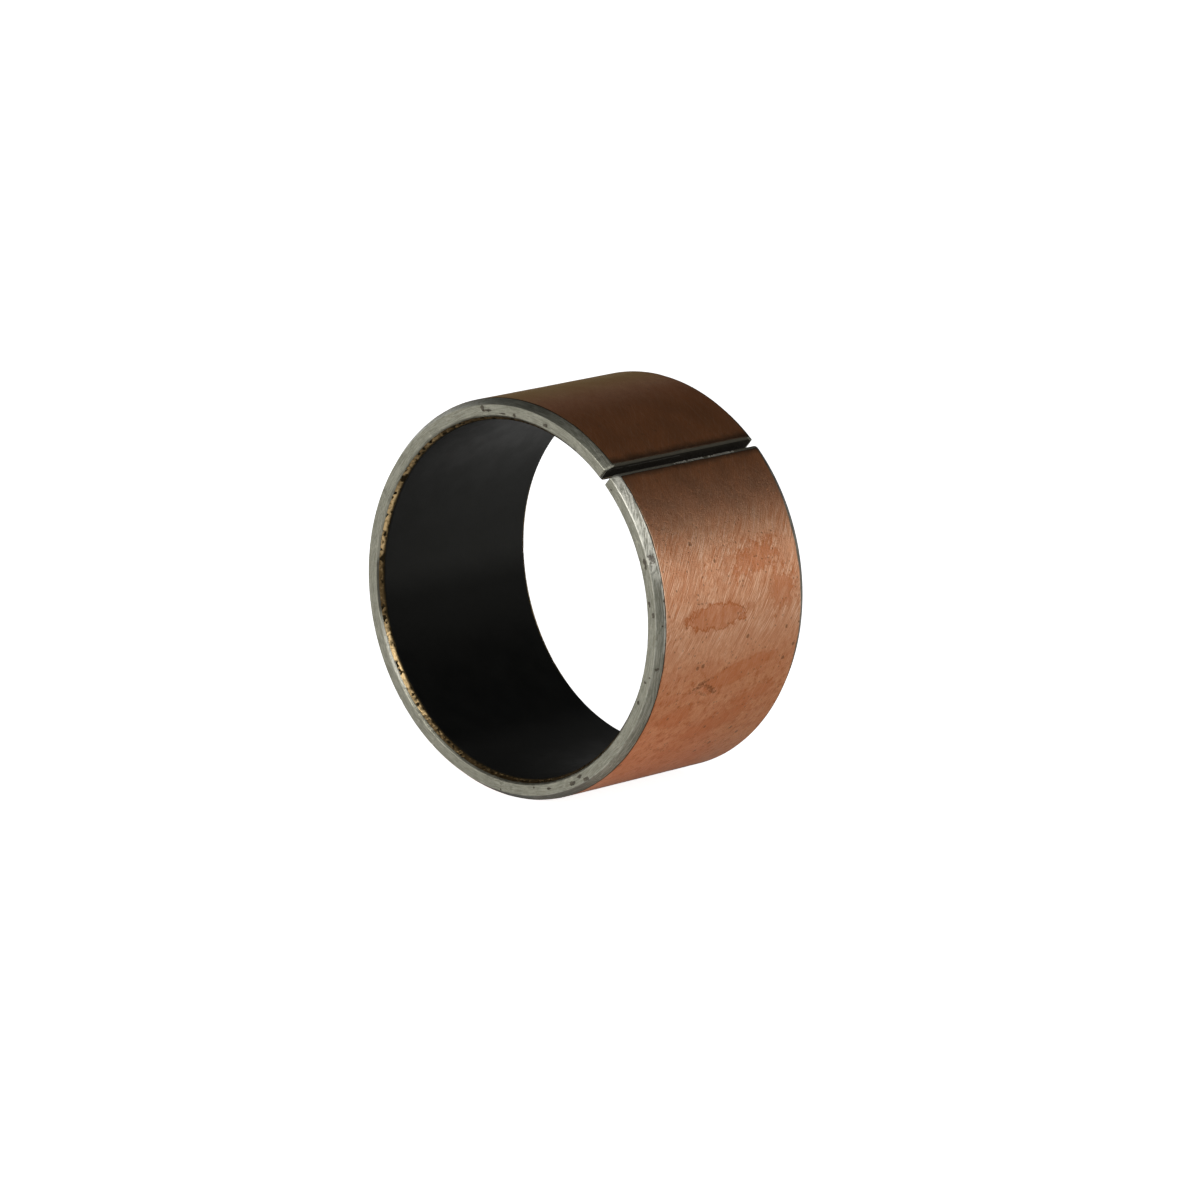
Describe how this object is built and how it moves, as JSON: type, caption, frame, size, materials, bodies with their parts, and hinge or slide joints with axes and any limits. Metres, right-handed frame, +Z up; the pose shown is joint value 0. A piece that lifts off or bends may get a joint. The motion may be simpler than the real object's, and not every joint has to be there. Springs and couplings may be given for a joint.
{
  "type": "wrapped sleeve bushing",
  "caption": "Split plain sleeve bush rolled from copper-plated steel strip, with a sintered bronze layer, a black sliding liner, chamfered ends and an open butt joint.",
  "frame": {"origin": "on the bore axis, half way along the bush", "axes": "+Z up with the bush lying on its side; +Y along the bore axis; +X to the right of the bore axis"},
  "size_m": [0.028, 0.015, 0.028],
  "materials": {
    "steel": "machined, low-carbon steel, slightly stained",
    "copper": "tarnished copper flash plating with fine scratches",
    "bronze": "sintered, porous, cut by the chamfer",
    "liner": "charcoal filled PTFE, satin"
  },
  "bodies": {
    "root": {"steel_backing": "steel", "copper_plating": "copper", "porous_bronze_layer": "bronze", "ptfe_liner": "liner"}
  },
  "joints": []
}
